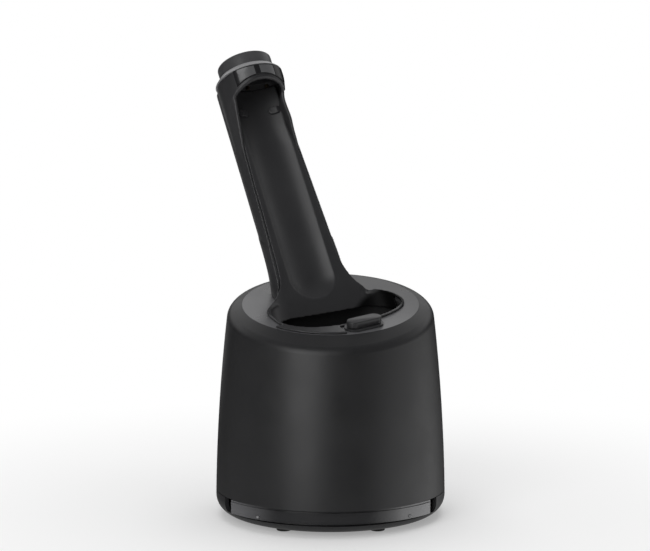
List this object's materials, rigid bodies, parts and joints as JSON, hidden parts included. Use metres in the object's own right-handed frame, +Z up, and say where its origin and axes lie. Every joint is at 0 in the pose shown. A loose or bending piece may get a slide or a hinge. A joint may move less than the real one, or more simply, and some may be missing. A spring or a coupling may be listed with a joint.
{
  "type": "shaver cleaning station",
  "caption": "Station that cleans and charges a shaver: tapered round housing with a slanted deck and bowl, a leaning arm with a contact head; the housing lifts off a fluid cartridge.",
  "frame": {"origin": "on the axis of the round housing, on the plane the feet stand on", "axes": "+Z up; -Y towards the front, where the cartridge strip shows; +X to the right as seen from the front"},
  "size_m": [0.1297, 0.1471, 0.2571],
  "materials": {
    "housing_plastic": "fine-grained matt",
    "deck_plastic": "satin",
    "bowl_plastic": "matt",
    "arm_plastic": "matt",
    "fascia_plastic": "high gloss",
    "light_plastic": "frosted",
    "button_plastic": "satin",
    "cartridge_plastic": "gloss",
    "filter_fibre": "felt",
    "inner_plastic": "plain moulded",
    "foot_rubber": "matt",
    "seal_rubber": "matt",
    "pipe_rubber": "satin",
    "steel": "brushed",
    "spring_steel": "drawn wire",
    "contact_brass": "bright",
    "magnet_ceramic": "sintered",
    "board_laminate": "lacquered",
    "cable_jacket": "matt"
  },
  "bodies": {
    "base": {"base_tray": "housing_plastic", "feet": "foot_rubber", "cartridge_body": "cartridge_plastic", "cartridge_lid": "cartridge_plastic", "cartridge_filter": "filter_fibre", "guide_posts": "steel", "post_stops": "steel", "lift_springs": "spring_steel"},
    "housing": {"arm_back_shell": "arm_plastic", "arm_cable": "cable_jacket", "arm_front_shell": "arm_plastic", "arm_screws": "steel", "bowl": "bowl_plastic", "bowl_gasket": "seal_rubber", "button_spring": "spring_steel", "button_switch": "inner_plastic", "chassis_plate": "inner_plastic", "chassis_screws": "steel", "contact_block": "housing_plastic", "contact_spring_left": "spring_steel", "contact_spring_right": "spring_steel", "deck_plate": "deck_plastic", "delivery_pipe": "pipe_rubber", "dock_lugs": "arm_plastic", "drain_pipe": "pipe_rubber", "guide_sleeves": "inner_plastic", "head_fascia": "fascia_plastic", "head_shell": "arm_plastic", "housing_shell": "housing_plastic", "indicator_board": "board_laminate", "intake_pipe": "pipe_rubber", "latch_bracket": "inner_plastic", "lift_button_spring": "spring_steel", "light_ring": "light_plastic", "main_board": "board_laminate", "motor_can": "steel", "motor_end_cap": "inner_plastic", "motor_magnets": "magnet_ceramic", "power_socket": "housing_plastic", "pump_housing": "inner_plastic", "rinse_spout": "arm_plastic", "shaft_seal": "seal_rubber", "socket_pins": "contact_brass"},
    "start_button": {"start_button": "button_plastic"},
    "lift_button": {"lift_button": "housing_plastic"},
    "pump_rotor": {"motor_shaft": "steel", "motor_armature": "steel", "pump_impeller": "inner_plastic"},
    "contact_pin_left": {"contact_pin_left": "contact_brass"},
    "contact_pin_right": {"contact_pin_right": "contact_brass"}
  },
  "joints": [
    {"name": "housing_lift", "type": "slide", "parent": "base", "child": "housing", "axis": [0, 0, 1], "range_m": [0, 0.046], "deforming": ["lift_springs"]},
    {"name": "start_press", "type": "slide", "parent": "housing", "child": "start_button", "axis": [0.2876, -0.3819, -0.8783], "range_m": [0, 0.0012], "stiffness_N_per_m": 900, "deforming": ["button_spring"]},
    {"name": "lift_press", "type": "slide", "parent": "housing", "child": "lift_button", "axis": [0, -1, 0], "range_m": [0, 0.0025], "stiffness_N_per_m": 700, "deforming": ["lift_button_spring"]},
    {"name": "pump_spin", "type": "hinge", "parent": "housing", "child": "pump_rotor", "pos_m": [-0.022, 0.01, 0.06], "axis": [0, 0, 1], "continuous": true},
    {"name": "contact_left_press", "type": "slide", "parent": "housing", "child": "contact_pin_left", "axis": [-0.2876, 0.3819, 0.8783], "range_m": [0, 0.0012], "stiffness_N_per_m": 400, "deforming": ["contact_spring_left"]},
    {"name": "contact_right_press", "type": "slide", "parent": "housing", "child": "contact_pin_right", "axis": [-0.2876, 0.3819, 0.8783], "range_m": [0, 0.0012], "stiffness_N_per_m": 400, "deforming": ["contact_spring_right"]}
  ]
}
